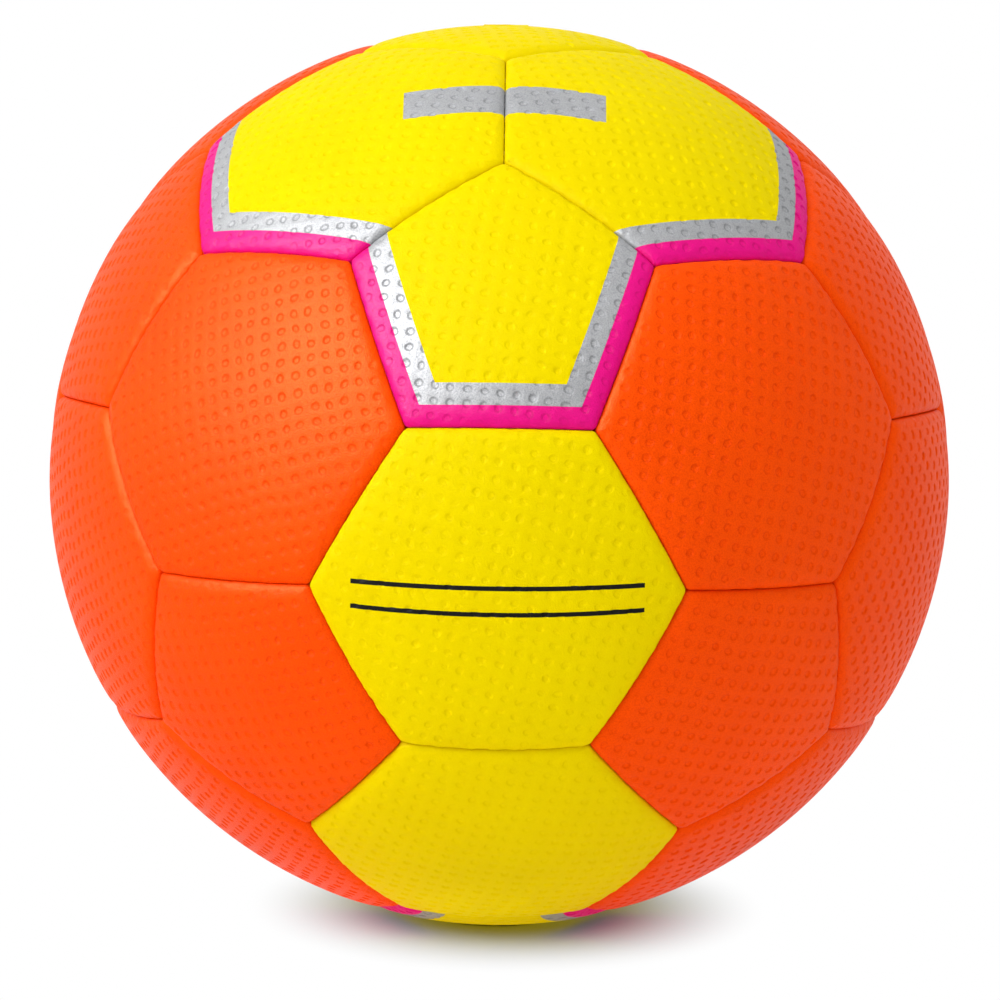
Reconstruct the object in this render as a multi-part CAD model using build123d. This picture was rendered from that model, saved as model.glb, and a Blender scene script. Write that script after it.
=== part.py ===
"""Stitched 32-panel handball, youth and women's size, built up as the real ball is.

Twelve pentagon and twenty hexagon covers, each with its edges folded in as a pierced hem, are sewn
along ninety seams into a closed skin with waxed thread. A padded lining is glued in every cover's
hollow, and a round rubber bladder with a self-closing valve fills the middle.

Frame: millimetres, +Z up, origin at the ball's centre. One pentagon points up and carries the valve,
one points down, and the pentagon below the top one at azimuth -90 degrees faces the front (-Y).
"""
from build123d import *
import math
import os

# Ball and covers
CIRCUMFERENCE = 550.0        # round the crowns of the covers
COVER_THICKNESS = 1.6        # grained skin on its cloth backing
HEM_THICKNESS = 1.6          # folded-in edge of a cover
SEAM_ALLOWANCE = 3.4         # depth of the hem below the skin's inner face
SEAM_GAP = 0.1               # between the hems of two sewn covers
FOLD_ROUND = 0.4             # inner radius of the fold along a seam
CORNER_EASE = 0.5            # extra radius at a cover's corners, where three seams meet

# Sewing
THREAD_THICKNESS = 0.8       # of the waxed thread
THREAD_CLEARANCE = 0.1       # round the thread in its needle holes and beside the hems
STITCH_PITCH = 5.0           # from needle hole to needle hole
STITCH_DEPTH = 1.7           # of the row of holes below the skin's inner face
CORNER_CLEARANCE = 0.5       # of the first hole, past the thread of the next seam
THREAD_TAIL = 2.0            # cut end, laid back along the hem

# Lining
LINING_THICKNESS = 3.0       # foam and cloth laminate
GLUE_LINE = 0.05             # between surfaces that are glued or vulcanised together

# Bladder and valve
BLADDER_WALL = 1.0
BLADDER_CLEARANCE = 0.1      # to the innermost hem or lining
VALVE_CLEARANCE = 0.1        # round the boot, and round the plug in it
FLANGE_RADIUS = 14.0         # disc of the boot, vulcanised to the bladder's inside
FLANGE_THICKNESS = 1.4
STEM_RADIUS = 5.0            # boot where it passes through the bladder and the lining
STEM_REACH = 8.0             # of the stem into the bladder, below the flange
NOSE_RADIUS = 3.8            # end of the boot that shows in the cover
NOSE_RECESS = 0.5            # of the nose below the cover's crown
PLUG_RADIUS = 2.4            # self-closing plug in the boot
PLUG_RECESS = 0.3            # of the plug's face below the nose
PLUG_TIP = 3.0               # of the plug beyond the stem's inner end
TIP_ROUND_SHARE = 0.8        # of the plug's radius, rounded off at its inner end
RIB_HEIGHT = 0.6             # of the ring that locks the plug in the boot
RIB_LENGTH = 1.5
RIB_DEPTH = 5.0              # of the ring below the plug's face
NEEDLE_RADIUS = 1.0          # guide hole for an inflating needle
NEEDLE_DEPTH = 8.0

# Layers from the crown inwards
BALL_RADIUS = CIRCUMFERENCE / (2 * math.pi)
SKIN_INNER = BALL_RADIUS - COVER_THICKNESS
HEM_END = SKIN_INNER - SEAM_ALLOWANCE
STITCH_ROW = SKIN_INNER - STITCH_DEPTH
LINING_OUTER = SKIN_INNER - GLUE_LINE
LINING_INNER = LINING_OUTER - LINING_THICKNESS
BLADDER_OUTER = min(HEM_END, LINING_INNER) - BLADDER_CLEARANCE
BLADDER_INNER = BLADDER_OUTER - BLADDER_WALL

# Distances from a seam's plane, the same on both sides of it
HEM_FACE = SEAM_GAP / 2
POCKET_FACE = HEM_FACE + HEM_THICKNESS
THREAD_FACE = POCKET_FACE + THREAD_CLEARANCE
THREAD_MIDDLE = THREAD_FACE + THREAD_THICKNESS / 2
THREAD_BACK = THREAD_FACE + THREAD_THICKNESS
LINING_FACE = THREAD_BACK + THREAD_CLEARANCE

# Rounding of the fold and of the corners, outside and inside the hem
EDGE_ROUND = FOLD_ROUND + COVER_THICKNESS
CORNER_ROUND = EDGE_ROUND + CORNER_EASE
POCKET_CORNER_ROUND = FOLD_ROUND + CORNER_EASE

# The seams are the edges of a truncated icosahedron, drawn out onto the sphere
GOLDEN_RATIO = (1 + math.sqrt(5)) / 2
CORNER_DISTANCE = math.sqrt(9 * GOLDEN_RATIO + 10) / 2     # of a seam corner, in edge lengths
SEAM_ANGLE = 2 * math.asin(0.5 / CORNER_DISTANCE)          # of one seam, seen from the centre
FIRST_CORNER = {5: 0.0, 6: 180 / 6}                        # azimuth of a cover's first corner
PANELS_IN_RING = 5
RING_TURN = 360 / PANELS_IN_RING
FRONT = -90.0
MIDDLE = FRONT + RING_TURN / 2


def seam_tilt(sides):
    """Angle between the axis of a cover and the planes of its seams."""
    corner_reach = 0.5 / math.sin(math.pi / sides)
    edge_reach = 0.5 / math.tan(math.pi / sides)
    return math.atan(edge_reach / math.sqrt(CORNER_DISTANCE**2 - corner_reach**2))


def panel_rings():
    """Name, sides, polar angle, first azimuth and number of the covers in each ring, from the top."""
    to_pentagon = math.degrees(math.acos(1 / math.sqrt(5)))
    to_hexagon = math.degrees(seam_tilt(5) + seam_tilt(6))
    to_belt = to_hexagon + math.degrees(2 * seam_tilt(6))
    return [
        ("top_pentagon", 5, 0, FRONT, 1),
        ("upper_hexagon", 6, to_hexagon, MIDDLE, PANELS_IN_RING),
        ("upper_pentagon", 5, to_pentagon, FRONT, PANELS_IN_RING),
        ("upper_belt_hexagon", 6, to_belt, MIDDLE, PANELS_IN_RING),
        ("lower_belt_hexagon", 6, 180 - to_belt, FRONT, PANELS_IN_RING),
        ("lower_pentagon", 5, 180 - to_pentagon, MIDDLE, PANELS_IN_RING),
        ("lower_hexagon", 6, 180 - to_hexagon, FRONT, PANELS_IN_RING),
        ("bottom_pentagon", 5, 180, MIDDLE, 1),
    ]


def direction(polar, azimuth):
    polar, azimuth = math.radians(polar), math.radians(azimuth)
    across = math.sin(polar)
    return Vector(across * math.cos(azimuth), across * math.sin(azimuth), math.cos(polar))


def panel_frames():
    """Every cover's name, sides and frame: Z out through its middle, X towards the nearer pole."""
    frames = []
    for ring, sides, polar, first, count in panel_rings():
        for k in range(count):
            azimuth = first + RING_TURN * k
            axis = direction(polar, azimuth)
            if count == 1:
                along = direction(90, azimuth)
            else:
                pole = Vector(0, 0, 1 if polar < 90 else -1)
                along = pole - axis * axis.dot(pole)
            name = ring if count == 1 else f"{ring}_{k + 1}"
            frames.append((name, sides, Plane((0, 0, 0), x_dir=along, z_dir=axis)))
    return frames


def seam_frames(sides):
    """Planes of the seams round a cover on +Z: Z towards the cover, Y out through the seam's middle."""
    tilt, turn = math.degrees(seam_tilt(sides)), 360 / sides
    frames = []
    for k in range(sides):
        azimuth = FIRST_CORNER[sides] + turn * (k + 0.5)
        along, towards_cover = direction(90, azimuth - 90), direction(90 - tilt, azimuth + 180)
        frames.append(Plane((0, 0, 0), x_dir=along, z_dir=towards_cover))
    return frames


def pyramid(sides, face, corner_round):
    """Wedge of the ball under a cover on +Z, its sides moved in from the seam planes by face."""
    wedge = Pos(0, 0, BALL_RADIUS) * Box(2 * BALL_RADIUS, 2 * BALL_RADIUS, BALL_RADIUS)
    for seam in seam_frames(sides):
        wedge = split(wedge, bisect_by=seam.offset(face), keep=Keep.TOP)
    slopes = wedge.edges().filter_by(lambda edge: abs(edge.tangent_at(0.5).Z) > 0.5)
    return fillet(slopes, corner_round)


def ball(radius):
    """Sphere with its poles on Y, so that neither they nor its seam lie in a cover on +Z."""
    return Rot(90, 0, 0) * Sphere(radius)


def rim(solid, radius):
    """Edges of a solid that lie on the sphere of that radius."""
    return solid.edges().filter_by(
        lambda edge: all(abs((edge @ part).length - radius) < 0.001 for part in (0, 0.5, 1))
    )


def stitch_angles():
    """Places of the needle holes along a seam, as angles in degrees from its middle."""
    room = STITCH_ROW * SEAM_ANGLE - 2 * (THREAD_BACK + CORNER_CLEARANCE)
    gaps = int(room // STITCH_PITCH)
    step = math.degrees(STITCH_PITCH / STITCH_ROW)
    return [step * (k - gaps / 2) for k in range(gaps + 1)]


def needle_holes(sides):
    """Tools that pierce every hem of a cover on +Z."""
    hole = extrude(Circle(THREAD_THICKNESS / 2 + THREAD_CLEARANCE), LINING_FACE)
    return [
        seam.location * Rot(0, 0, angle) * Pos(0, STITCH_ROW) * hole
        for seam in seam_frames(sides)
        for angle in stitch_angles()
    ]


def make_cover(sides):
    """Skin of one panel with its folded and pierced hem, on +Z."""
    skin = (ball(BALL_RADIUS) - ball(HEM_END)) & pyramid(sides, HEM_FACE, CORNER_ROUND)
    skin = fillet(rim(skin, BALL_RADIUS), EDGE_ROUND)
    pocket = ball(SKIN_INNER) & pyramid(sides, POCKET_FACE, POCKET_CORNER_ROUND)
    pocket = fillet(rim(pocket, SKIN_INNER), FOLD_ROUND)
    return skin - pocket - needle_holes(sides)


def make_lining(sides):
    """Pad glued in the hollow of a cover on +Z, clear of the thread along the hems."""
    layer = ball(LINING_OUTER) - ball(LINING_INNER)
    return layer & pyramid(sides, LINING_FACE, POCKET_CORNER_ROUND)


def make_thread():
    """Thread of one seam, in the seam's plane: through a hole, along the hem, and back through the next."""
    def spot(angle, side):
        return Vector(0, STITCH_ROW, side * THREAD_MIDDLE).rotate(Axis.Z, angle)

    holes, side = stitch_angles(), 1
    tail = math.degrees(THREAD_TAIL / STITCH_ROW)
    route = [spot(holes[0] + tail, side)]
    for angle in holes:
        route += [spot(angle, side), spot(angle, -side)]
        side = -side
    route.append(spot(holes[-1] - tail, side))
    path = Polyline(*route)
    section = Plane(path @ 0, z_dir=path % 0) * Circle(THREAD_THICKNESS / 2)
    return sweep(section, path=path, transition=Transition.RIGHT)


def seam_places():
    """Places of the seams: sixty beside pentagons, and thirty between two hexagons."""
    places, middles = {5: [], 6: []}, []
    for _, sides, frame in sorted(panel_frames(), key=lambda panel: panel[1]):
        for seam in seam_frames(sides):
            place = frame.location * seam.location
            middle = (place * Pos(0, BALL_RADIUS)).position
            if all((middle - other).length > STITCH_PITCH for other in middles):
                middles.append(middle)
                places[sides].append(place)
    return places


def turned(*corners):
    """Solid of revolution about Z from its half section."""
    return revolve(make_face(Polyline(*[(r, 0, z) for r, z in corners], close=True)), Axis.Z)


# Heights on the valve's axis
NOSE_TOP = BALL_RADIUS - NOSE_RECESS
SHOULDER = math.sqrt(SKIN_INNER**2 - STEM_RADIUS**2) - VALVE_CLEARANCE
FLANGE_OUTER = BLADDER_INNER - GLUE_LINE
STEM_END = FLANGE_OUTER - FLANGE_THICKNESS - STEM_REACH
PLUG_FACE = NOSE_TOP - PLUG_RECESS
PLUG_END = STEM_END - PLUG_TIP
RIB_TOP = PLUG_FACE - RIB_DEPTH
NEEDLE_END = PLUG_FACE - NEEDLE_DEPTH


def plug_body(clearance):
    """The plug without its guide hole, grown by a clearance on its sides and on its locking ring."""
    body = PLUG_RADIUS + clearance
    ring = body + RIB_HEIGHT
    return turned(
        (0, PLUG_END), (body, PLUG_END),
        (body, RIB_TOP - RIB_LENGTH - clearance), (ring, RIB_TOP - RIB_LENGTH - clearance),
        (ring, RIB_TOP + clearance), (body, RIB_TOP + clearance),
        (body, PLUG_FACE), (0, PLUG_FACE),
    )


def make_valve_plug():
    body = plug_body(0)
    tip = body.edges().group_by(Axis.Z)[0]
    body = fillet(tip, PLUG_RADIUS * TIP_ROUND_SHARE)
    guide = turned((0, NEEDLE_END), (NEEDLE_RADIUS, NEEDLE_END), (NEEDLE_RADIUS, PLUG_FACE), (0, PLUG_FACE))
    return body - guide


def make_valve_boot():
    stem = turned(
        (0, STEM_END), (STEM_RADIUS, STEM_END), (STEM_RADIUS, SHOULDER),
        (NOSE_RADIUS, SHOULDER), (NOSE_RADIUS, NOSE_TOP), (0, NOSE_TOP),
    )
    layer = ball(FLANGE_OUTER) - ball(FLANGE_OUTER - FLANGE_THICKNESS)
    flange = layer & turned((0, 0), (FLANGE_RADIUS, 0), (FLANGE_RADIUS, BALL_RADIUS), (0, BALL_RADIUS))
    mouth = PLUG_RADIUS + VALVE_CLEARANCE
    socket_mouth = turned((0, PLUG_FACE), (mouth, PLUG_FACE), (mouth, NOSE_TOP), (0, NOSE_TOP))
    return stem + flange - plug_body(VALVE_CLEARANCE) - socket_mouth


def valve_opening(radius):
    """Tool that opens a layer round the boot, from the ball's centre out past its skin."""
    reach, top = radius + VALVE_CLEARANCE, 2 * BALL_RADIUS
    return turned((0, 0), (reach, 0), (reach, top), (0, top))


def make_bladder():
    return ball(BLADDER_OUTER) - ball(BLADDER_INNER) - valve_opening(STEM_RADIUS)


def write(name, shapes):
    """Writes one sub-part: a solid, or a group of separate ones."""
    solids = [solid for shape in shapes for solid in shape.solids()]
    export_step(solids[0] if len(solids) == 1 else Compound(solids), f"parts/{name}.step")


os.makedirs("parts", exist_ok=True)
covers = {sides: make_cover(sides) for sides in FIRST_CORNER}
linings = {sides: make_lining(sides) for sides in FIRST_CORNER}
pads = {sides: [] for sides in FIRST_CORNER}

for name, sides, frame in panel_frames():
    cover, lining = covers[sides], linings[sides]
    if name == "top_pentagon":
        cover = cover - valve_opening(NOSE_RADIUS)
        lining = lining - valve_opening(STEM_RADIUS)
    write(f"{name}_cover", [frame.location * cover])
    pads[sides].append(frame.location * lining)

thread, seams = make_thread(), seam_places()
for kind, sides in (("pentagon", 5), ("hexagon", 6)):
    write(f"{kind}_linings", pads[sides])
    write(f"{kind}_seam_threads", [place * thread for place in seams[sides]])
write("bladder", [make_bladder()])
write("valve_boot", [make_valve_boot()])
write("valve_plug", [make_valve_plug()])

print("ball radius", round(BALL_RADIUS, 3), "bladder radius", round(BLADDER_OUTER, 3))
print("needle bore face at z", round(PLUG_FACE, 4))
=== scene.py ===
"""Stitched handball: dimpled orange and yellow panels with printed edge stripes, on a white sweep."""
import math
import bmesh
import bpy
from mathutils import Matrix, Vector, noise


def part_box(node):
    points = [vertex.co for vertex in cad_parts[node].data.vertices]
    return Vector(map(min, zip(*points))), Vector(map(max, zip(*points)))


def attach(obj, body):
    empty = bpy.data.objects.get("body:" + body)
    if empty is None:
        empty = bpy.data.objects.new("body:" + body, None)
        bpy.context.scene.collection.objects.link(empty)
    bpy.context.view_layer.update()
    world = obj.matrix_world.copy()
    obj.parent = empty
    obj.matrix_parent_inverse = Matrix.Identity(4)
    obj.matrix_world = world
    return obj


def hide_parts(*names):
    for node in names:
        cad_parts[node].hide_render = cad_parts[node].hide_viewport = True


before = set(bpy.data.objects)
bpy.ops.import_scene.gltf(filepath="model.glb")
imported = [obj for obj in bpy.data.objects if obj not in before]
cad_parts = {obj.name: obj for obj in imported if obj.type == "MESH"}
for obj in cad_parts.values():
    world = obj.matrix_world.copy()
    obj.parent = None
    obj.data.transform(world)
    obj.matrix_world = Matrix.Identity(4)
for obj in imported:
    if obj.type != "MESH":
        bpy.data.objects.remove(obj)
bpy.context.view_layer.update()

MM = 0.001

# Ball and covers, in metres
BALL_RADIUS = -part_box("bottom_pentagon_cover")[0][2]
SKIN_THICKNESS = 1.6 * MM
SKIN_INNER = BALL_RADIUS - SKIN_THICKNESS
HEM_DEPTH = 3.4 * MM
HEM_END = SKIN_INNER - HEM_DEPTH
HEM_THICKNESS = 1.6 * MM
HALF_SEAM_GAP = 0.05 * MM
FOLD_WIDTH = 2.5 * MM
FOLD_DROP = 1.15 * MM
CORNER_ROUND = 1.2 * MM
SHOULDER_WIDTH = 9.0 * MM
SHOULDER_DROP = 0.3 * MM
STITCH_PITCH = 5.0 * MM
STITCH_WIDTH = 2.4 * MM
STITCH_DROP = 0.14 * MM
PUCKER_SHARE = 1.6
PUCKER_LENGTH = 1.2 * MM
FOLD_LOOPS = (0.1 * MM, 0.35 * MM, 0.75 * MM, 1.3 * MM, FOLD_WIDTH)

# Planes that round a corner, as shares of the way from seam to seam, and loops of the inner face, each as a
# share of the loop before it
CORNER_CUTS = (0.25, 0.5, 0.75)
INNER_LOOPS = (0.75, 0.65, 0.5)

# Half width of the flat sheet that a panel is cut from
SHEET_REACH = 0.45 * BALL_RADIUS

# Distances at which a cut takes a point as on its plane, and at which two points become one
ON_PLANE = 1e-7
SAME_POINT = 1e-6

# Dimples of the grip surface: their rings are shares of the radius and of the depth
DIMPLE_PITCH = 3.1 * MM
DIMPLE_RADIUS = 0.9 * MM
DIMPLE_DEPTH = 0.18 * MM
DIMPLE_SIDES = 12
DIMPLE_RINGS = ((0.48, 1.0), (0.64, 0.84), (0.92, 0.16), (1.07, 0.0))
DIMPLE_FADE = (0.3 * MM, 2.4 * MM)
HEX_TURN = 16.0
PENT_TURN = 9.0
ROW_WANDER = 0.75 * MM
WANDER_LENGTH = 5.5 * MM
DEPTH_VARIATION = 0.7
NOISE_SEED = 5

# Name under which a mesh keeps how far each of its points is on the wall of a dimple; the skins darken these
# walls with painted shade and make them duller
DIMPLE_WALL = "dimple_wall"

# Grain of the skin and the coarser creases in it: noise per metre, and how high they stand
GRAIN_SCALE = 3600.0
CREASE_SCALE = 800.0
CREASE_SHARE = 0.35
GRAIN_HEIGHT = 0.2 * MM

# Faint clouds, scuffs and duller dimple walls of the skin: noise per metre, and what they add
CLOUD_SCALE = 45.0
CLOUD_SHARE = 0.15
SCUFF_SCALE = 170.0
SCUFF_ROUGHNESS = 0.1
WALL_ROUGHNESS = 0.45

# Rubber and cloth of the pieces inside: noise or weave per metre, and how high it stands
RUBBER_CLOUD_SCALE = 300.0
RUBBER_GRAIN_SCALE = 1800.0
RUBBER_GRAIN_HEIGHT = 0.05 * MM
CLOTH_CLOUD_SCALE = 120.0
WEAVE_SCALE = 350.0
WEAVE_HEIGHT = 0.1 * MM

# Printed stripes and plain marks
STRIPE_WIDTH = 4.1 * MM
BAND_ELEVATION = 58.3
BAND_LENGTH = 38.0 * MM
BAND_HEIGHT = 9.0 * MM
RULE_ELEVATION = -11.0
RULE_LENGTH = 54.0 * MM
RULE_HEIGHT = 0.9 * MM
RULE_SPACING = 5.0 * MM

# Valve hole in the top cover, in a square of nine left-out dimples, with even rows close round it
VALVE_HOLE_RADIUS = 3.9 * MM
VALVE_RIM_WIDTH = 0.6 * MM
VALVE_RIM_HEIGHT = 0.15 * MM
VALVE_CLEARING = 1.5 * DIMPLE_PITCH
VALVE_CALM = 2 * DIMPLE_PITCH

# Layout of the panels: rings of five round the vertical axis, and where a panel's corners start by its sides
RING_COUNT = 5
RING_TURN = 360 / RING_COUNT
FRONT = -90.0
MIDDLE = FRONT + RING_TURN / 2
FIRST_CORNER = {5: 0.0, 6: 30.0}
CORNER_DISTANCE = math.sqrt(9 * (1 + math.sqrt(5)) / 2 + 10) / 2

# View of the photograph
CAMERA_DISTANCE = 15.43 * BALL_RADIUS
CAMERA_ELEVATION = 4.39
CAMERA_ROLL = 0.86
CAMERA_LENS = 249.4
CAMERA_SHIFT = (0.0007, -0.025)
CAMERA_SIGHT = 100.0

# White sweep: the shadow on it fades to plain white over an ellipse, whose middle lies behind the ball's foot
FLOOR_REACH = 40.0
FLOOR_COLOUR = (0.92, 0.92, 0.92)
SHADE_COLOUR = (0.38, 0.41, 0.48)
SHADE_MIDDLE = (0.03 * BALL_RADIUS, 0.26 * BALL_RADIUS, -BALL_RADIUS)
SHADE_REACH = (0.55 * BALL_RADIUS, BALL_RADIUS, BALL_RADIUS)
SHADE_FADE = (0.38, 1.08)

# Studio: strength of the white all round as it lights the ball, softboxes, and a light table under the ball
FILL = 0.58
KEY_PLACE, KEY_SIZE, KEY_WATTS = (-1.1, -0.84, 0.86), 0.8, 15.0
TOP_PLACE, TOP_SIZE, TOP_WATTS = (0.1, -0.4, 1.7), 1.4, 12.0
SHEEN_PLACE, SHEEN_SIZE, SHEEN_WATTS = (-1.1, -0.84, 0.9), 0.7, 320.0
TABLE_PLACE, TABLE_SIZE, TABLE_WATTS = (0, 0, 0.3 * MM - BALL_RADIUS), 1.1 * BALL_RADIUS, 0.0106


def seam_tilt(sides):
    """Angle between the axis of a panel and the planes of its seams."""
    corner_reach = 0.5 / math.sin(math.pi / sides)
    edge_reach = 0.5 / math.tan(math.pi / sides)
    return math.atan(edge_reach / math.sqrt(CORNER_DISTANCE**2 - corner_reach**2))


def direction(polar, azimuth):
    """Unit vector at an angle from +Z and an angle round it from +X, in degrees."""
    polar, azimuth = math.radians(polar), math.radians(azimuth)
    across = math.sin(polar)
    return Vector((across * math.cos(azimuth), across * math.sin(azimuth), math.cos(polar)))


def panel_layout():
    """Every panel's name with its sides and its axes: out through its middle, and its first corner's way."""
    to_pentagon = math.degrees(math.acos(1 / math.sqrt(5)))
    to_hexagon = math.degrees(seam_tilt(5) + seam_tilt(6))
    to_belt = to_hexagon + math.degrees(2 * seam_tilt(6))
    rings = (
        ("top_pentagon", 5, 0, FRONT, 1),
        ("upper_hexagon", 6, to_hexagon, MIDDLE, RING_COUNT),
        ("upper_pentagon", 5, to_pentagon, FRONT, RING_COUNT),
        ("upper_belt_hexagon", 6, to_belt, MIDDLE, RING_COUNT),
        ("lower_belt_hexagon", 6, 180 - to_belt, FRONT, RING_COUNT),
        ("lower_pentagon", 5, 180 - to_pentagon, MIDDLE, RING_COUNT),
        ("lower_hexagon", 6, 180 - to_hexagon, FRONT, RING_COUNT),
        ("bottom_pentagon", 5, 180, MIDDLE, 1),
    )
    layout = {}
    for ring, sides, polar, first, count in rings:
        for k in range(count):
            azimuth = first + RING_TURN * k
            axis = direction(polar, azimuth)
            if count == 1:
                along = direction(90, azimuth)
            else:
                pole = Vector((0, 0, 1 if polar < 90 else -1))
                along = (pole - axis * axis.dot(pole)).normalized()
            layout[ring if count == 1 else f"{ring}_{k + 1}"] = (sides, axis, along)
    return layout


LAYOUT = panel_layout()
# Panels with a yellow skin: the others are orange
YELLOW = {
    "top_pentagon", "bottom_pentagon", "upper_pentagon_1", "lower_pentagon_3",
    "upper_hexagon_1", "upper_hexagon_5", "lower_hexagon_3", "lower_hexagon_4",
    "lower_belt_hexagon_1", "upper_belt_hexagon_3", "lower_hexagon_1", "upper_hexagon_3",
}
# Neighbours that a yellow panel is striped against
STRIPED = {
    "upper_pentagon_1": ("upper_belt_hexagon_1", "upper_belt_hexagon_5", "lower_belt_hexagon_1"),
    "lower_pentagon_3": ("lower_belt_hexagon_3", "lower_belt_hexagon_4", "upper_belt_hexagon_3"),
    "upper_hexagon_1": ("upper_belt_hexagon_1", "upper_pentagon_2"),
    "upper_hexagon_5": ("upper_belt_hexagon_5", "upper_pentagon_5"),
    "lower_hexagon_3": ("lower_belt_hexagon_3", "lower_pentagon_2"),
    "lower_hexagon_4": ("lower_belt_hexagon_4", "lower_pentagon_4"),
    "bottom_pentagon": ("lower_hexagon_2", "lower_hexagon_5"),
}


def panel_matrix(name):
    """Turns a panel made on +Z to its place, a few sides on, so that the rows of dimples differ."""
    sides, axis, along = LAYOUT[name]
    steps = int(name[-1]) % RING_COUNT if name[-1].isdigit() else 0
    turn = Matrix.Rotation(2 * math.pi * steps / sides, 4, "Z")
    return Matrix((along, axis.cross(along), axis)).transposed().to_4x4() @ turn


def seam_normal(name, neighbour):
    """Normal of the seam between two panels, towards the first one."""
    sides, axis, _ = LAYOUT[name]
    other = LAYOUT[neighbour][1]
    side = (other - axis * axis.dot(other)).normalized()
    tilt = seam_tilt(sides)
    return axis * math.sin(tilt) - side * math.cos(tilt)


def outline_planes(sides):
    """Planes round a panel on +Z, as pairs of an inward normal and an offset, with its corners rounded."""
    tilt = math.degrees(seam_tilt(sides))
    turn = 360 / sides
    edges = []
    corners = []
    for k in range(sides):
        edges.append(direction(90 - tilt, FIRST_CORNER[sides] + turn * (k + 0.5) + 180))
    for k in range(sides):
        for part in CORNER_CUTS:
            blend = edges[k - 1].lerp(edges[k], part)
            offset = (CORNER_ROUND + HALF_SEAM_GAP) / blend.length - CORNER_ROUND
            corners.append((blend.normalized(), offset))
    return [(edge, HALF_SEAM_GAP) for edge in edges], corners


def everything(bm):
    """All points, edges and faces of a mesh."""
    return bm.verts[:] + bm.edges[:] + bm.faces[:]


def cut(bm, normal, offset, keep_both=True):
    """Cuts a mesh along a plane, and may drop what lies behind it."""
    bmesh.ops.bisect_plane(
        bm, geom=everything(bm), dist=ON_PLANE, plane_co=normal * offset, plane_no=normal,
        clear_inner=not keep_both,
    )


def pull_ring(bm, edges, place):
    """Extrudes a loop of edges and puts each new point where place says."""
    made = bmesh.ops.extrude_edge_only(bm, edges=edges)["geom"]
    for vert in made:
        if isinstance(vert, bmesh.types.BMVert):
            vert.co = place(vert.co)
    return [e for e in made if isinstance(e, bmesh.types.BMEdge)]


def dimple_tile():
    """One square of the grip surface with its round dimple, flat and centred."""
    bm = bmesh.new()
    reach, depth = DIMPLE_RINGS[0]
    bmesh.ops.create_circle(bm, cap_ends=True, segments=DIMPLE_SIDES, radius=DIMPLE_RADIUS * reach)
    bmesh.ops.rotate(bm, verts=bm.verts, matrix=Matrix.Rotation(math.pi / DIMPLE_SIDES, 3, "Z"))
    bmesh.ops.translate(bm, verts=bm.verts, vec=(0, 0, -DIMPLE_DEPTH * depth))
    edges = bm.edges[:]

    def on_ring(reach, depth):
        def place(co):
            flat = Vector((co.x, co.y, 0)).normalized() * DIMPLE_RADIUS * reach
            return Vector((flat.x, flat.y, -DIMPLE_DEPTH * depth))
        return place

    for reach, depth in DIMPLE_RINGS[1:]:
        edges = pull_ring(bm, edges, on_ring(reach, depth))
        edges = [e for e in edges if e.is_boundary]
    pull_ring(
        bm, edges, lambda co: Vector((co.x, co.y, 0)) * (DIMPLE_PITCH / 2 / max(abs(co.x), abs(co.y)))
    )
    return bm


def dimpled_sheet(reach):
    """Flat square of the grip surface, dimple after dimple, out to a reach from its middle."""
    bm = dimple_tile()
    count = math.ceil(reach / DIMPLE_PITCH)
    for way in ((1, 0, 0), (0, 1, 0)):
        step = Vector(way) * DIMPLE_PITCH
        bmesh.ops.translate(bm, verts=bm.verts, vec=-step * count)
        bmesh.ops.spin(
            bm, geom=everything(bm), cent=(0, 0, 0), axis=(0, 0, 1), dvec=step, angle=0,
            steps=2 * count, use_duplicate=True,
        )
    bmesh.ops.remove_doubles(bm, verts=bm.verts, dist=SAME_POINT)
    return bm


def wander(bm, calm):
    """Makes the rows of a flat sheet uneven and its dimples unlike in depth, outside a calm circle."""
    wall = bm.verts.layers.float.new(DIMPLE_WALL)
    noise.seed_set(NOISE_SEED)
    for vert in bm.verts:
        spot = Vector((vert.co.x, vert.co.y, 0)) / WANDER_LENGTH
        away = min(1.0, max(0.0, (math.hypot(vert.co.x, vert.co.y) - calm) / DIMPLE_PITCH))
        shift = noise.noise_vector(spot) * ROW_WANDER * away
        depth = vert.co.z * (1 + DEPTH_VARIATION * noise.noise(spot * 2))
        part = min(1.0, max(0.0, -vert.co.z / DIMPLE_DEPTH))
        vert[wall] = 4 * part * (1 - part) * away
        vert.co = (vert.co.x + shift.x, vert.co.y + shift.y, depth)


def wrap_on_ball(bm, turn):
    """Bends a flat sheet onto the ball about +Z, keeping distances from its middle."""
    bmesh.ops.rotate(bm, verts=bm.verts, matrix=Matrix.Rotation(math.radians(turn), 3, "Z"))
    for vert in bm.verts:
        flat = Vector((vert.co.x, vert.co.y, 0))
        angle = flat.length / BALL_RADIUS
        out = flat.normalized() * math.sin(angle) + Vector((0, 0, math.cos(angle)))
        vert.co = out * (BALL_RADIUS + vert.co.z)


def smooth_step(value, low, high):
    """Share from 0 at the low value to 1 at the high one, without a kink at either end."""
    part = min(1.0, max(0.0, (value - low) / (high - low)))
    return part * part * (3 - 2 * part)


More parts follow.
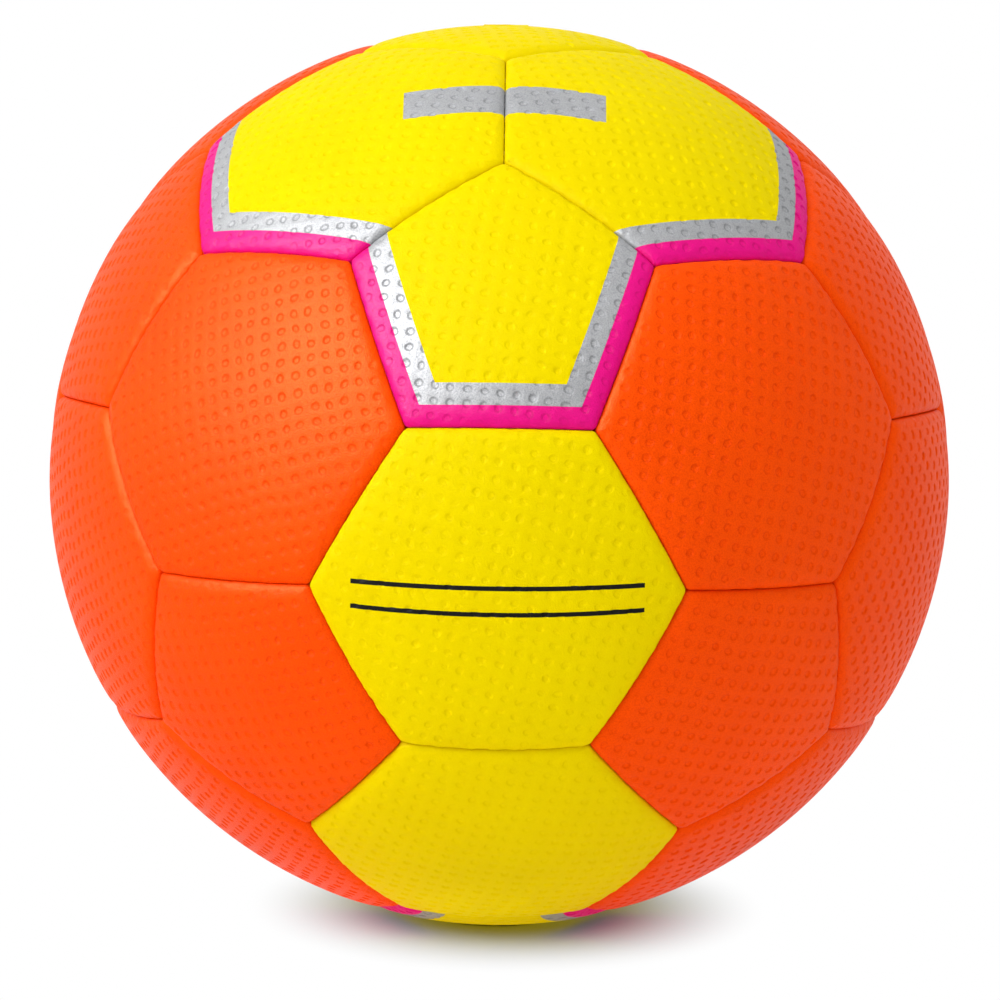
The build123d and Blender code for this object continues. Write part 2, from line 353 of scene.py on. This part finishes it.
def fold_down(vert, wall, edges, corners):
    """Draws a point of the skin down by the fold and shoulder at its seam and the puckers at its stitches."""
    co = vert.co
    gaps = [normal.dot(co) - offset for normal, offset in edges]
    inset = min(gaps)
    nearest = edges[gaps.index(inset)][0]
    inset = max(0.0, min([inset] + [normal.dot(co) - offset for normal, offset in corners]))
    dimpled = smooth_step(inset, *DIMPLE_FADE)
    vert[wall] *= dimpled
    drop = (BALL_RADIUS - co.length) * dimpled
    if inset < FOLD_WIDTH:
        drop += FOLD_DROP * (1 - math.sqrt(1 - (1 - inset / FOLD_WIDTH)**2))
    if inset < SHOULDER_WIDTH:
        drop += SHOULDER_DROP * (1 - inset / SHOULDER_WIDTH)**2
    if inset < STITCH_WIDTH:
        along = nearest.cross(Vector((0, 0, 1))).normalized().dot(co)
        pull = 0.5 - 0.5 * math.cos(2 * math.pi * along / STITCH_PITCH)
        pull += PUCKER_SHARE * noise.noise(co / PUCKER_LENGTH)
        drop += STITCH_DROP * pull * (1 - inset / STITCH_WIDTH)
    vert.co = co.normalized() * (BALL_RADIUS - drop)


def panel_skin(sides, turn, valve):
    """Outer skin of a panel on +Z: dimpled, cut to its outline and folded down along its seams."""
    edges, corners = outline_planes(sides)
    bm = dimpled_sheet(SHEET_REACH)
    if valve:
        open_valve_hole(bm)
    wander(bm, VALVE_CALM if valve else 0)
    wrap_on_ball(bm, turn)
    for normal, offset in edges + corners:
        cut(bm, normal, offset, keep_both=False)
    for inset in FOLD_LOOPS:
        for normal, offset in edges:
            cut(bm, normal, offset + inset)
    wall = bm.verts.layers.float[DIMPLE_WALL]
    for vert in bm.verts:
        fold_down(vert, wall, edges, corners)
    return bm


def open_valve_hole(bm):
    """Leaves out the nine middle dimples of a flat sheet, and draws the sheet in to a round raised rim."""
    def across(co):
        return max(abs(co.x), abs(co.y))

    inside = [f for f in bm.faces if across(f.calc_center_median()) < VALVE_CLEARING]
    bmesh.ops.delete(bm, geom=inside, context="FACES")
    loop = [e for e in bm.edges if e.is_boundary and across(e.verts[0].co) < 2 * VALVE_CLEARING]

    def round_to(radius, height):
        def place(co):
            flat = Vector((co.x, co.y, 0)).normalized() * radius
            return Vector((flat.x, flat.y, height))
        return place

    for radius, height in (
        (VALVE_HOLE_RADIUS + VALVE_RIM_WIDTH, 0),
        (VALVE_HOLE_RADIUS + VALVE_RIM_WIDTH / 2, VALVE_RIM_HEIGHT),
        (VALVE_HOLE_RADIUS, 0),
        (VALVE_HOLE_RADIUS, -SKIN_THICKNESS),
    ):
        loop = [e for e in pull_ring(bm, loop, round_to(radius, height)) if e.is_boundary]


def close_panel(bm, valve):
    """Gives a skin its folded hem and its inner face, so that the panel is a closed shell."""
    def near_axis(edge):
        co = edge.verts[0].co
        return math.hypot(co.x, co.y) < 2 * VALVE_HOLE_RADIUS
    border = [e for e in bm.edges if e.is_boundary]
    hole = [e for e in border if near_axis(e)] if valve else []
    loop = [e for e in border if e not in hole]

    def at_radius(radius, squeeze=1.0):
        def place(co):
            return Vector((co.x * squeeze, co.y * squeeze, co.z)).normalized() * radius
        return place

    inward = 1 - HEM_THICKNESS / (BALL_RADIUS * math.tan(seam_tilt(5)))
    rings = [(HEM_END, 1.0), (HEM_END, inward), (SKIN_INNER, 1.0)]
    rings += [(SKIN_INNER, squeeze) for squeeze in INNER_LOOPS]
    for radius, squeeze in rings:
        loop = [e for e in pull_ring(bm, loop, at_radius(radius, squeeze)) if e.is_boundary]
    if valve:
        bmesh.ops.bridge_loops(bm, edges=loop + hole)
    else:
        middle = list(dict.fromkeys(v for e in loop for v in e.verts))
        bmesh.ops.pointmerge(bm, verts=middle, merge_co=(0, 0, SKIN_INNER))
    bmesh.ops.recalc_face_normals(bm, faces=bm.faces)


def mark(bm, planes, index):
    """Gives the faces in front of all the planes another finish, cut clean along them."""
    for normal, offset in planes:
        cut(bm, normal, offset)
    for face in bm.faces:
        middle = face.calc_center_median()
        if all(normal.dot(middle) > offset for normal, offset in planes):
            face.material_index = index


class Value:
    """A shader socket that takes part in Python arithmetic."""

    def __init__(self, finish, socket):
        self.finish = finish
        self.socket = socket

    def math(self, operation, first, second):
        return self.finish.node("ShaderNodeMath", {"operation": operation}, {0: first, 1: second})

    def __add__(self, other):
        return self.math("ADD", self, other)

    def __radd__(self, other):
        return self.math("ADD", other, self)

    def __mul__(self, other):
        return self.math("MULTIPLY", self, other)

    def __rmul__(self, other):
        return self.math("MULTIPLY", other, self)


class Finish:
    """The shader of a material or of the world, being put together."""

    def __init__(self, owner):
        owner.use_nodes = True
        self.owner = owner
        self.tree = owner.node_tree
        self.tree.nodes.clear()

    def node(self, kind, settings=None, sockets=None, output=0):
        """Adds a node with its settings and with the values or links of its sockets, and gives its output."""
        made = self.tree.nodes.new(kind)
        for key, value in (settings or {}).items():
            if key == "stops":
                ramp = made.color_ramp.elements
                for element, (place, level) in zip(ramp, value):
                    element.position = place
                    element.color = (level, level, level, 1)
            else:
                setattr(made, key, value)
        for key, value in (sockets or {}).items():
            if isinstance(value, Value):
                self.tree.links.new(value.socket, made.inputs[key])
            else:
                made.inputs[key].default_value = value
        return Value(self, made.outputs[output])

    def place(self):
        return self.node("ShaderNodeTexCoord", output="Object")

    def noise(self, scale, detail, rough=0.5):
        return self.node(
            "ShaderNodeTexNoise", sockets={"Vector": self.place(), "Scale": scale, "Detail": detail,
                                           "Roughness": rough}
        )

    def background_seen(self):
        """Whether a ray comes from the camera, or from a mirror or glass that shows the background."""
        kinds = ("Is Camera Ray", "Is Glossy Ray", "Is Transmission Ray")
        camera, mirror, glass = (self.node("ShaderNodeLightPath", output=kind) for kind in kinds)
        return camera + mirror + glass

    def ramp(self, value, low, high):
        return self.node("ShaderNodeValToRGB", {"stops": (low, high)}, {"Fac": value})

    def blend(self, factor, first, second):
        return self.node(
            "ShaderNodeMix", {"data_type": "RGBA"}, {0: factor, 6: (*first, 1), 7: (*second, 1)}, output=2
        )

    def surface(self, **sockets):
        """Gives the material a principled shader, with sockets named by words joined with underscores."""
        return self.show(self.node("ShaderNodeBsdfPrincipled", sockets={
            key.replace("_", " "): value for key, value in sockets.items()
        }))

    def show(self, shader):
        """Ends the shader at its owner's output."""
        world = isinstance(self.owner, bpy.types.World)
        out = self.tree.nodes.new("ShaderNodeOutputWorld" if world else "ShaderNodeOutputMaterial")
        self.tree.links.new(shader.socket, out.inputs["Surface"])
        return self.owner


def new_finish(name):
    return Finish(bpy.data.materials.new(name))


def linear(red, green, blue):
    """Colour from the 0 to 255 values of a picture."""
    def part(value):
        value /= 255
        return value / 12.92 if value <= 0.04045 else ((value + 0.055) / 1.055)**2.4
    return part(red), part(green), part(blue)


def coated_leather(name, colour, mottle_and_wall_shade, sheen, gloss=0.04, rough=0.4, metallic=0.0, ring=0.6, speckle=0.15):
    """Grained polyurethane skin with painted shade darkening the walls of its dimples, and with faint clouds
    and scuffs.
    """
    finish = new_finish(name)
    grain = finish.noise(GRAIN_SCALE, 3.0, 0.6)
    wall = finish.node("ShaderNodeAttribute", {"attribute_name": DIMPLE_WALL}, output="Fac")
    cloud = finish.ramp(finish.noise(CLOUD_SCALE, 3.0), (0.35, 0.0), (0.75, 1.0))
    speck = finish.ramp(grain, (0.42, 0.0), (0.66, 1.0))
    scuff = finish.ramp(finish.noise(SCUFF_SCALE, 6.0, 0.7), (0.55, 0.0), (0.8, 1.0))
    relief = grain + finish.noise(CREASE_SCALE, 3.0, 0.55) * CREASE_SHARE
    bump = finish.node(
        "ShaderNodeBump", sockets={"Strength": 0.6, "Distance": GRAIN_HEIGHT, "Height": relief}
    )
    return finish.surface(
        # Clouds and speckle are the skin's own mottle; the ring share turns the dimple walls darker as
        # painted shade
        Base_Color=finish.blend(cloud * CLOUD_SHARE + wall * ring + speck * speckle, colour, mottle_and_wall_shade),
        Roughness=rough + scuff * SCUFF_ROUGHNESS + wall * WALL_ROUGHNESS,
        Metallic=metallic,
        Specular_IOR_Level=gloss,
        Specular_Tint=(*sheen, 1),
        Normal=bump,
    )


def moulded_rubber(name, colour):
    """Matt rubber with a fine grain and paler clouds."""
    finish = new_finish(name)
    cloud = finish.noise(RUBBER_CLOUD_SCALE, 4.0)
    grain = finish.noise(RUBBER_GRAIN_SCALE, 3.0)
    bump = finish.node(
        "ShaderNodeBump", sockets={"Strength": 0.2, "Distance": RUBBER_GRAIN_HEIGHT, "Height": grain}
    )
    lighter = tuple(min(1.0, part * 1.6 + 0.01) for part in colour)
    return finish.surface(
        Base_Color=finish.blend(cloud, colour, lighter), Roughness=0.5 + cloud * 0.2, Normal=bump
    )


def woven_cloth(name, colour):
    """Dull cloth or thread, ribbed by its weave, with darker clouds."""
    finish = new_finish(name)
    wave = finish.node("ShaderNodeTexWave", sockets={"Vector": finish.place(), "Scale": WEAVE_SCALE})
    cloud = finish.noise(CLOTH_CLOUD_SCALE, 3.0)
    bump = finish.node("ShaderNodeBump", sockets={"Strength": 0.4, "Distance": WEAVE_HEIGHT, "Height": wave})
    darker = tuple(part * 0.8 for part in colour)
    return finish.surface(
        Base_Color=finish.blend(cloud, colour, darker), Roughness=0.85 + cloud * 0.1, Normal=bump
    )


# Skins and prints: each ring share sets how strongly painted shade darkens the walls of the dimples
ORANGE_SKIN = coated_leather(
    "orange_skin", linear(252, 80, 2), linear(214, 40, 1), (1.0, 0.95, 0.33), 0.042, ring=0.34, speckle=0.35
)
YELLOW_SKIN = coated_leather(
    "yellow_skin", linear(234, 212, 1), linear(212, 180, 1), (1.0, 1.0, 0.3), 0.009, ring=0.1, speckle=0.15
)
SILVER_PRINT = coated_leather(
    "silver_print", linear(168, 169, 171), linear(96, 97, 100), (1.0, 1.0, 1.0),
    rough=0.42, metallic=0.06, ring=0.55, speckle=0.35,
)
MAGENTA_PRINT = coated_leather(
    "magenta_print", linear(232, 16, 132), linear(186, 5, 92), (1.0, 0.8, 1.0), gloss=0.05, ring=0.6
)
BLACK_PRINT = coated_leather("black_print", linear(26, 24, 20), linear(12, 11, 10), (1.0, 1.0, 1.0))
PRINTS = (MAGENTA_PRINT, SILVER_PRINT, BLACK_PRINT)
MAGENTA, SILVER, BLACK = range(1, len(PRINTS) + 1)


def bar_planes(elevation, height, length):
    """Sides of a level bar across the front of the ball, centred at an elevation."""
    up = direction(-elevation, FRONT)
    level = Vector((1, 0, 0))
    return [(up, -height / 2), (-up, -height / 2), (level, -length / 2), (-level, -length / 2)]


RULE_STEP = math.degrees(RULE_SPACING / 2 / BALL_RADIUS)
BAND = (SILVER, bar_planes(BAND_ELEVATION, BAND_HEIGHT, BAND_LENGTH))
MARKS = {
    "upper_hexagon_1": (BAND,),
    "upper_hexagon_5": (BAND,),
    "lower_belt_hexagon_1": tuple(
        (BLACK, bar_planes(RULE_ELEVATION + step, RULE_HEIGHT, RULE_LENGTH))
        for step in (RULE_STEP, -RULE_STEP)
    ),
}


def print_stripes(bm, name):
    """Prints the magenta and silver stripes along the seams that a panel is striped against."""
    normals = [seam_normal(name, neighbour) for neighbour in STRIPED.get(name, ())]
    for normal in normals:
        cut(bm, normal, STRIPE_WIDTH)
        cut(bm, normal, 2 * STRIPE_WIDTH)
    for face in bm.faces if normals else ():
        inset = min(normal.dot(face.calc_center_median()) for normal in normals)
        if inset < 2 * STRIPE_WIDTH:
            face.material_index = MAGENTA if inset < STRIPE_WIDTH else SILVER


def add_panel(name, skins):
    """Finishes one panel on a copy of its skin and puts it in its place."""
    sides = LAYOUT[name][0]
    bm = skins[sides, name == "top_pentagon"].copy()
    bmesh.ops.transform(bm, matrix=panel_matrix(name), verts=bm.verts)
    print_stripes(bm, name)
    for index, planes in MARKS.get(name, ()):
        mark(bm, planes, index)
    for face in bm.faces:
        face.smooth = True
    mesh = bpy.data.meshes.new(name)
    bm.to_mesh(mesh)
    bm.free()
    piece = bpy.data.objects.new(name, mesh)
    bpy.context.scene.collection.objects.link(piece)
    mesh.materials.append(YELLOW_SKIN if name in YELLOW else ORANGE_SKIN)
    for finish in PRINTS:
        mesh.materials.append(finish)
    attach(piece, "root")
    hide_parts(name + "_cover")
    "yellow_cover" if name in YELLOW else "orange_cover"


def make_skins():
    """Closed panels on +Z, by their sides and whether they carry the valve."""
    skins = {}
    for sides, valve, turn in ((5, False, PENT_TURN), (5, True, PENT_TURN), (6, False, HEX_TURN)):
        skins[sides, valve] = panel_skin(sides, turn, valve)
        close_panel(skins[sides, valve], valve)
    return skins


def dress_inner_nodes():
    """Gives the pieces inside the ball their finishes, by the last word of their names."""
    finishes = {
        "linings": woven_cloth("lining_cloth", linear(224, 220, 208)),
        "threads": woven_cloth("waxed_thread", linear(236, 232, 220)),
        "bladder": moulded_rubber("bladder_rubber", linear(52, 52, 54)),
        "boot": moulded_rubber("boot_rubber", linear(38, 38, 38)),
        "plug": moulded_rubber("plug_rubber", linear(60, 60, 60)),
    }
    for node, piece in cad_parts.items():
        kind = node.split("_")[-1]
        if kind in finishes:
            piece.data.materials.clear()
            piece.data.materials.append(finishes[kind])


def white_sweep():
    """Matt white floor, whose shadow the camera sees darker at the ball's foot and fade to plain white."""
    finish = new_finish("white_sweep")
    white = finish.node("ShaderNodeBsdfDiffuse", sockets={"Color": (*FLOOR_COLOUR, 1)})
    shade = finish.node("ShaderNodeBsdfDiffuse", sockets={"Color": (*SHADE_COLOUR, 1)})
    camera = finish.node("ShaderNodeLightPath", output="Is Camera Ray")
    matt = finish.node("ShaderNodeMixShader", sockets={0: camera, 1: white, 2: shade})
    glow = finish.node("ShaderNodeEmission")
    offset = finish.node(
        "ShaderNodeVectorMath", {"operation": "SUBTRACT"}, {0: finish.place(), 1: SHADE_MIDDLE}
    )
    shares = finish.node("ShaderNodeVectorMath", {"operation": "DIVIDE"}, {0: offset, 1: SHADE_REACH})
    distance = finish.node("ShaderNodeVectorMath", {"operation": "LENGTH"}, {0: shares}, output="Value")
    fade = finish.node(
        "ShaderNodeMapRange", {"interpolation_type": "SMOOTHSTEP"},
        {"Value": distance, "From Min": SHADE_FADE[0], "From Max": SHADE_FADE[1]},
    )
    seen = fade * finish.background_seen()
    return finish.show(finish.node("ShaderNodeMixShader", sockets={0: seen, 1: matt, 2: glow}))


def add_floor():
    """Level floor under the ball, far out on all sides."""
    bm = bmesh.new()
    bmesh.ops.create_grid(bm, x_segments=1, y_segments=1, size=FLOOR_REACH)
    bmesh.ops.translate(bm, verts=bm.verts, vec=(0, 0, -BALL_RADIUS))
    mesh = bpy.data.meshes.new("floor")
    bm.to_mesh(mesh)
    bm.free()
    floor = bpy.data.objects.new("floor", mesh)
    bpy.context.scene.collection.objects.link(floor)
    mesh.materials.append(white_sweep())


def add_lamp(name, place, size, watts, lights=True, mirrored=True):
    """Lamp that points at the ball unseen by the camera, and may only light it or only be mirrored in it."""
    lamp = bpy.data.lights.new(name, "AREA")
    lamp.size = size
    lamp.energy = watts
    holder = bpy.data.objects.new(name, lamp)
    holder.location = place
    holder.rotation_euler = (-Vector(place)).to_track_quat("-Z", "Y").to_euler()
    holder.visible_camera = False
    holder.visible_diffuse = lights
    holder.visible_glossy = mirrored
    bpy.context.scene.collection.objects.link(holder)


def light_studio():
    """White surroundings that are seen brighter than they light, and the lamps."""
    scene = bpy.context.scene
    scene.view_settings.view_transform = "Standard"
    studio = Finish(bpy.data.worlds.new("studio"))
    strength = FILL + studio.background_seen() * (1 - FILL)
    scene.world = studio.show(
        studio.node("ShaderNodeBackground", sockets={"Color": (1, 1, 1, 1), "Strength": strength})
    )
    add_lamp("key_softbox", KEY_PLACE, KEY_SIZE, KEY_WATTS, mirrored=False)
    add_lamp("top_softbox", TOP_PLACE, TOP_SIZE, TOP_WATTS)
    add_lamp("light_table", TABLE_PLACE, TABLE_SIZE, TABLE_WATTS, mirrored=False)
    add_lamp("sheen_softbox", SHEEN_PLACE, SHEEN_SIZE, SHEEN_WATTS, lights=False)


def add_camera():
    """Camera in front of the ball, a little above its middle and slightly rolled."""
    camera = bpy.data.cameras.new("camera")
    camera.lens = CAMERA_LENS
    camera.shift_x, camera.shift_y = CAMERA_SHIFT
    camera.clip_end = CAMERA_SIGHT
    holder = bpy.data.objects.new("camera", camera)
    place = direction(90 - CAMERA_ELEVATION, FRONT) * CAMERA_DISTANCE
    look = (-place).to_track_quat("-Z", "Y").to_matrix()
    roll = Matrix.Rotation(math.radians(CAMERA_ROLL), 3, "Z")
    holder.matrix_world = Matrix.Translation(place) @ (look @ roll).to_4x4()
    bpy.context.scene.collection.objects.link(holder)
    bpy.context.scene.camera = holder


skins = make_skins()
for name in LAYOUT:
    add_panel(name, skins)
dress_inner_nodes()
add_floor()
light_studio()
add_camera()
